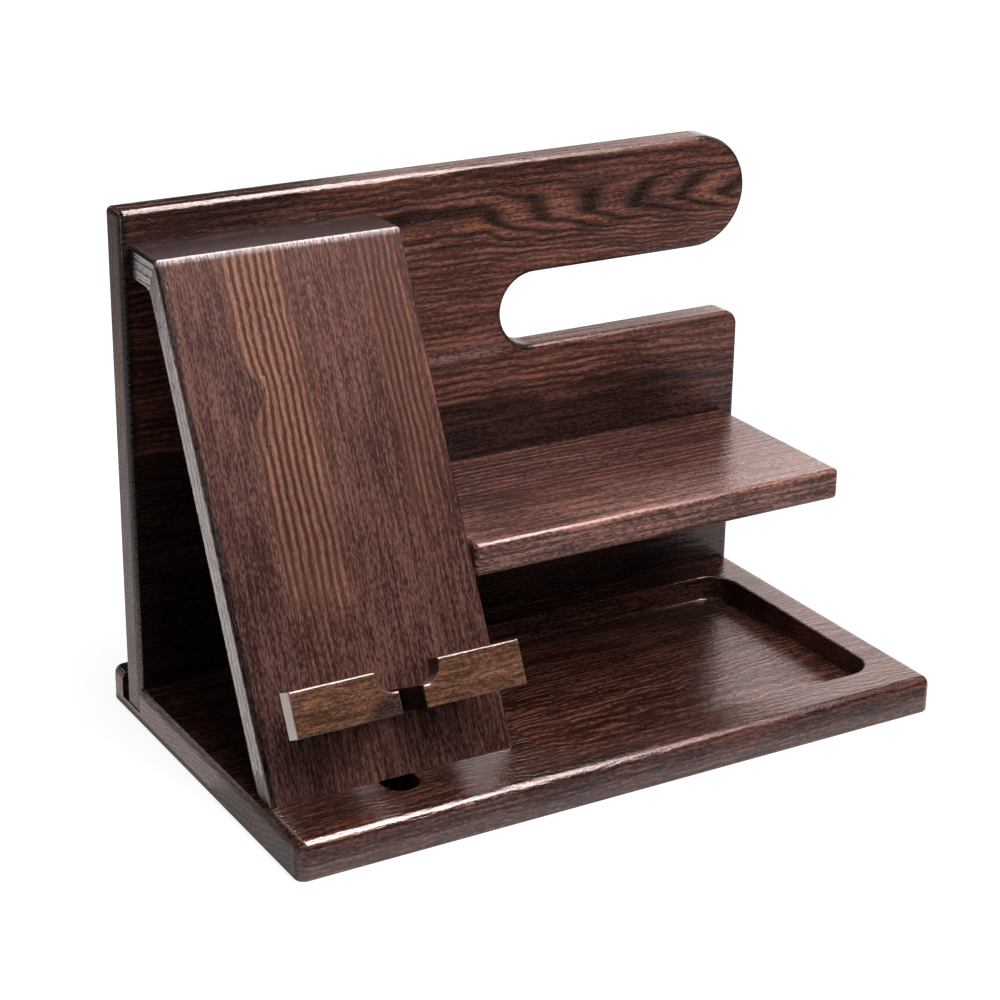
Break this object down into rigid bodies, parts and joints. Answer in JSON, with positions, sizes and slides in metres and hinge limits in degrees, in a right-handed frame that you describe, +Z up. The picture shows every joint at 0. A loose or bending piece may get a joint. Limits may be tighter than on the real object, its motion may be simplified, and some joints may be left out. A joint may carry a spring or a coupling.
{
  "type": "wooden docking station",
  "caption": "Wooden docking station: sloping phone plate with a split ledge, watch arm on an upright panel, shelf, and a base with a routed tray.",
  "frame": {"origin": "middle of the base board's underside, on the surface that the object stands on", "axes": "+X along the base to the right, towards the tray end; +Y to the back, towards the upright panel; +Z up"},
  "size_m": [0.28, 0.1694, 0.2063],
  "materials": {
    "base_wood": "dark stain under satin varnish",
    "panel_wood": "dark stain under satin varnish",
    "plate_wood": "dark stain under satin varnish",
    "stand_top_wood": "dark stain under satin varnish",
    "shelf_wood": "dark stain under satin varnish",
    "ledge_block_wood": "dark stain under satin varnish",
    "ledge_stop_wood": "medium brown stain under satin varnish",
    "dowel_wood": "bare hardwood",
    "screw_steel": "zinc plated"
  },
  "bodies": {
    "root": {"base_board": "base_wood", "back_panel": "panel_wood", "phone_plate": "plate_wood", "stand_top": "stand_top_wood", "shelf_board": "shelf_wood", "ledge_block": "ledge_block_wood", "ledge_stop_left": "ledge_stop_wood", "ledge_stop_right": "ledge_stop_wood", "shelf_dowels": "dowel_wood", "stand_dowels": "dowel_wood", "ledge_dowels": "dowel_wood", "panel_screws": "screw_steel", "foot_screws": "screw_steel"}
  },
  "joints": []
}
